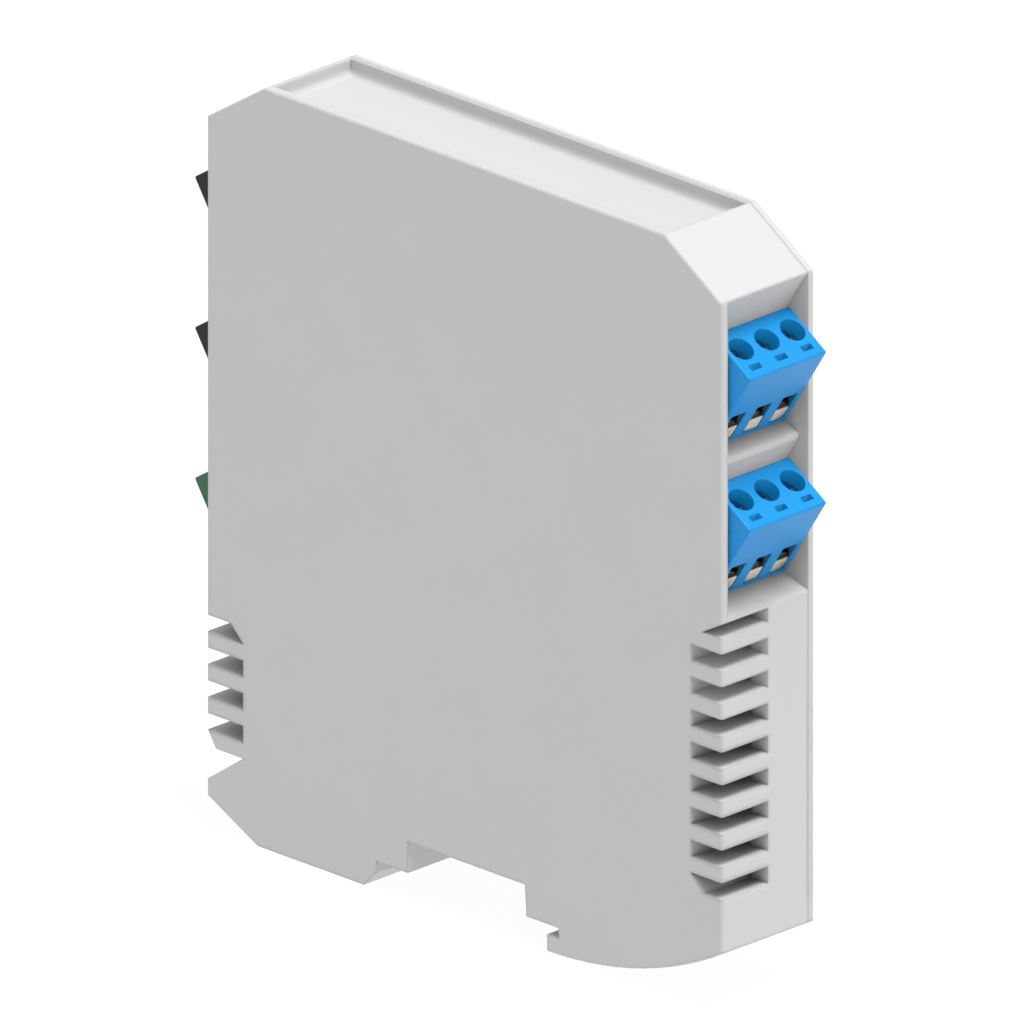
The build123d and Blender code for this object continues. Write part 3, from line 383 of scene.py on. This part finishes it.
def thread(joint):
    """Ring i lies at turn t of the helix; its points are the profile (radius, rise) turned by 2 pi t.

    The radius is root + (crest - root) * peak(j) * fade(i). The peak is 1 at the ridge, 0 at its feet
    and -1 inside the shaft, and fade grows from 0.1 to 1 over the first and the last part of the helix.
    """
    axis = np.array(joint["axis"])
    sideways = np.array([0, 1, 0])
    third = np.cross(axis, sideways)
    turns = (THREAD_TOP - THREAD_END) / THREAD_PITCH
    turn = np.linspace(0, turns, int(turns * THREAD_STEPS))[:, None]
    height = THREAD_TOP - turn * THREAD_PITCH
    near_end = np.clip(np.minimum(THREAD_TOP - height, height - THREAD_END) / THREAD_FADE, 0, 1)
    fade = THREAD_START + (1 - THREAD_START) * near_end
    peak = np.array([0, 1, 0, -1])[None, :]
    rise = np.array([-THREAD_FLANK, 0, THREAD_FLANK, 0])[None, :] * THREAD_PITCH
    radius = THREAD_ROOT + (THREAD_CREST - THREAD_ROOT) * peak * fade
    angle = 2 * math.pi * turn
    along = radius * np.cos(angle)
    return (
        np.array(joint["pos_m"])
        + along[..., None] * sideways
        + (radius * np.sin(angle))[..., None] * third
        + (height + rise)[..., None] * axis
    )


turning = [joint for joint in frame["joints"] if joint["name"].endswith("_turn")]
for joint in turning:
    skin(joint["child"] + "_thread", thread(joint)[None], joint["child"], "screw_steel")
print(len(turning), "threads of", round((THREAD_TOP - THREAD_END) / THREAD_PITCH, 1), "turns")

# %% [markdown]
# The plugs lean, so small work inside them is easier to place in a plug's own directions: out of the
# wire face, up along the pull, and across the poles. One function turns those into model coordinates.

# %% Helper: points given in a plug's own directions
PLUG_LEAN = math.radians(33)
PLUG_TIP_X = 53.7 * MM
PLUG_TIPS = {
    "front_upper": (1, 94.3 * MM),
    "front_lower": (1, 72.1 * MM),
    "rear_upper": (-1, 94.3 * MM),
    "rear_middle": (-1, 72.1 * MM),
    "rear_lower": (-1, 49.9 * MM),
}
POLES = {1: -5 * MM, 2: 0, 3: 5 * MM}


def in_plug(plug, out, up, across):
    """Model points from a plug's own directions, where a is its lean and side is 1 or -1.

    x = side (tip + up sin a + out cos a), y = -side across, z = tip height + up cos a - out sin a.
    """
    side, tip_height = PLUG_TIPS[plug]
    out, up, across = np.broadcast_arrays(out, up, across)
    x = side * (PLUG_TIP_X + up * math.sin(PLUG_LEAN) + out * math.cos(PLUG_LEAN))
    z = tip_height + up * math.cos(PLUG_LEAN) - out * math.sin(PLUG_LEAN)
    return np.stack([x, -side * across, z], axis=-1)


# %% [markdown]
# The jaw that presses a wire up against the contact bar is serrated across, so that the wire can't be
# pulled out. The ridges are one wavy profile drawn from the front of the jaw to its back, and carried
# across its width. They lie at the bottom of each wire window, where light catches their crests.

# %% Serrated grips on the clamp jaws
JAW_HEIGHT = -11.2 * MM
GRIP_FRONT = -0.7 * MM
GRIP_BACK = -6.9 * MM
GRIP_HALF_WIDTH = 1.38 * MM
GRIP_RIDGE = 0.14 * MM
GRIP_PITCH = 0.62 * MM
GRIP_SINK = 0.03 * MM
GRIP_POINTS = 81


def grip(plug, pole):
    """Height of the profile above the jaw: ridge (1 - cos(2 pi out / pitch)) / 2, closed by a flat foot."""
    out = np.linspace(GRIP_FRONT, GRIP_BACK, GRIP_POINTS)
    wave = GRIP_RIDGE * (1 - np.cos(2 * math.pi * (out - GRIP_FRONT) / GRIP_PITCH)) / 2
    out = np.concatenate([out, [GRIP_BACK, GRIP_FRONT]])
    up = JAW_HEIGHT + np.concatenate([wave, [-GRIP_SINK, -GRIP_SINK]])
    across = POLES[pole] + np.array([-GRIP_HALF_WIDTH, GRIP_HALF_WIDTH])
    return in_plug(plug, out[None, :], up[None, :], across[:, None])


for plug in PLUG_TIPS:
    for pole in POLES:
        skin(f"{plug}_grip_{pole}", grip(plug, pole)[None], f"{plug}_clamp_{pole}", "clamp_steel")
print(len(PLUG_TIPS) * len(POLES), "serrated grips")

# %% [markdown]
# A pad is coined in the front of each cage. It stands forward into the wire window, almost level with
# the plug's face, so a thin wire can't slip in under the jaw. It is the light metal in the lower half of
# each window. Its rings are superellipses that shrink towards the front, which rounds its rim. Its top is
# low enough to pass under the window's upper edge when the clamp has risen all the way.

# %% Pads in the wire windows
PAD_TOP = -11.27 * MM
PAD_FOOT = -13.7 * MM
PAD_HALF_WIDTH = 1.35 * MM
PAD_POWER = 10
PAD_SIDES = 48
PAD_STEPS = np.array([-0.52, -0.16, -0.09, -0.06]) * MM
PAD_SCALES = np.array([1, 1, 0.97, 0.88])


def pad(plug, pole):
    """Rings of |across/a|^10 + |up/b|^10 = 1, one at each step outwards, each with its own scale."""
    turn = np.linspace(0, 2 * math.pi, PAD_SIDES, endpoint=False)
    across = np.sign(np.cos(turn)) * np.abs(np.cos(turn)) ** (2 / PAD_POWER)
    up = np.sign(np.sin(turn)) * np.abs(np.sin(turn)) ** (2 / PAD_POWER)
    scale = PAD_SCALES[:, None]
    height = (PAD_TOP + PAD_FOOT) / 2 + (PAD_TOP - PAD_FOOT) / 2 * scale * up
    return in_plug(plug, PAD_STEPS[:, None], height, POLES[pole] + PAD_HALF_WIDTH * scale * across)


for plug in PLUG_TIPS:
    for pole in POLES:
        skin(f"{plug}_pad_{pole}", pad(plug, pole)[None], f"{plug}_clamp_{pole}", "clamp_steel")
print(len(PLUG_TIPS) * len(POLES), "pads")

# %% [markdown]
# Solder holds the header pins in the circuit board. A good joint is a low cone with a hollow flank that
# climbs the pin, so its radius falls fast near the board and slowly near the tip.

# %% Solder joints
JOINT_FOOT = 1.3 * MM
JOINT_TIP = 0.72 * MM
JOINT_HEIGHT = 0.32 * MM
JOINT_RINGS = 9
JOINT_SIDES = 20
PIN_OUT = -5.35 * MM
FIRST_PIN_UP = -23.05 * MM
PIN_STEP = 2.0 * MM

board_low, board_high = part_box("circuit_board")
climb = np.linspace(0, 1, JOINT_RINGS)
round_angle = np.linspace(0, 2 * math.pi, JOINT_SIDES, endpoint=False)
joint_radius = JOINT_TIP + (JOINT_FOOT - JOINT_TIP) * (1 - climb) ** 2
pin_ups = FIRST_PIN_UP - PIN_STEP * np.arange(len(POLES))
pin_places = np.concatenate([in_plug(plug, PIN_OUT, pin_ups, 0) for plug in PLUG_TIPS])
joint_shape = np.stack([
    joint_radius[:, None] * np.cos(round_angle),
    np.broadcast_to(-JOINT_HEIGHT * climb[:, None], (JOINT_RINGS, JOINT_SIDES)),
    joint_radius[:, None] * np.sin(round_angle),
], axis=-1)
pin_places[:, 1] = board_low.y
skin("solder_joints", pin_places[:, None, None] + joint_shape, "housing", "tinned_metal")
print(len(pin_places), "solder joints")

# %% [markdown]
# Small resistors stand round the larger parts on the board. Each is a rounded block with a metal cap at
# both ends. A superellipse is a good section for such moulded and dipped shapes: it is a rectangle whose
# corners are rounded by one number, and shrinking the end rings rounds the ends as well.

# %% Resistors on the board
BLOCK_POWER = 8
BLOCK_SIDES = 24
BLOCK_STEPS = np.array([-0.5, -0.46, 0.46, 0.5])
BLOCK_SCALES = np.array([0.85, 1, 1, 0.85])
RESISTOR_SIZE = np.array([2.0, 0.5, 1.2]) * MM
RESISTOR_CAP = 0.4 * MM
CAP_STEP = 0.04 * MM
RESISTOR_PLACES = np.array([
    (-6.5, 28), (-6.5, 31), (-6.5, 34), (10.5, 27), (10.5, 30), (10.5, 33), (-5, 71), (-5, 75),
    (8.3, 71), (8.3, 75), (-20, 29), (-20, 32), (14, 48), (14, 51), (14, 54), (2, 62),
]) * MM


def blocks(centres, size):
    """Rings along x of the section |y/a|^8 + |z/b|^8 = 1, the first and the last at 0.85 of its size."""
    turn = np.linspace(0, 2 * math.pi, BLOCK_SIDES, endpoint=False)
    power = 2 / BLOCK_POWER
    y = np.sign(np.cos(turn)) * np.abs(np.cos(turn)) ** power * size[1] / 2
    z = np.sign(np.sin(turn)) * np.abs(np.sin(turn)) ** power * size[2] / 2
    scale = BLOCK_SCALES[:, None]
    x = np.broadcast_to(BLOCK_STEPS[:, None] * size[0], (len(BLOCK_STEPS), BLOCK_SIDES))
    shape = np.stack([x, scale * y, scale * z], axis=-1)
    return centres[:, None, None] + shape


resistors = np.stack([
    RESISTOR_PLACES[:, 0],
    np.full(len(RESISTOR_PLACES), board_high.y + RESISTOR_SIZE[1] / 2 + CAP_STEP),
    board_low.z + RESISTOR_PLACES[:, 1],
], axis=1)
cap_shift = np.array([RESISTOR_SIZE[0] / 2 - RESISTOR_CAP / 2 + CAP_STEP, 0, 0])
cap_size = np.array([RESISTOR_CAP, RESISTOR_SIZE[1] + 2 * CAP_STEP, RESISTOR_SIZE[2] + 2 * CAP_STEP])
cap_centres = np.concatenate([resistors - cap_shift, resistors + cap_shift])
skin("resistor_bodies", blocks(resistors, RESISTOR_SIZE), "housing", "chip_black")
skin("resistor_caps", blocks(cap_centres, cap_size), "housing", "tinned_metal")
print(len(resistors), "resistors")

# %% [markdown]
# The electrolytic cans wear a shrunk plastic sleeve that leaves the metal end bare and is drawn into the
# rolled groove. It is turned like a pot: the radius along the can is a constant less a narrow bell curve.

# %% Sleeves on the cans
SLEEVE_RADIUS = 4.08 * MM
SLEEVE_SKIN = 0.06 * MM
SLEEVE_FOOT = 0.3 * MM
SLEEVE_TOP = 10.0 * MM
SLEEVE_RINGS = 40
SLEEVE_SIDES = 40
GROOVE_HEIGHT = 1.8 * MM
GROOVE_DEPTH = 0.42 * MM
GROOVE_SPREAD = 0.32 * MM

for can in ("primary_capacitor", "secondary_capacitor"):
    can_low, can_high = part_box(can)
    rise = np.linspace(SLEEVE_FOOT, SLEEVE_TOP, SLEEVE_RINGS)
    outer = SLEEVE_RADIUS - GROOVE_DEPTH * np.exp(-((rise - GROOVE_HEIGHT) / GROOVE_SPREAD) ** 2)
    radius = np.concatenate([outer, outer[::-1] - SLEEVE_SKIN])[:, None]
    height = np.concatenate([rise, rise[::-1]])[:, None]
    turn = np.linspace(0, 2 * math.pi, SLEEVE_SIDES, endpoint=False)
    middle = np.array([(can_low.x + can_high.x) / 2, can_low.y, (can_low.z + can_high.z) / 2])
    along = np.broadcast_to(height, (2 * SLEEVE_RINGS, SLEEVE_SIDES))
    around = np.stack([radius * np.cos(turn), along, radius * np.sin(turn)], axis=-1)
    skin(f"{can}_sleeve", (middle + around)[None], "housing", "header_black", loop=True)
print("sleeves from", SLEEVE_FOOT / MM, "to", SLEEVE_TOP / MM, "mm above the board")
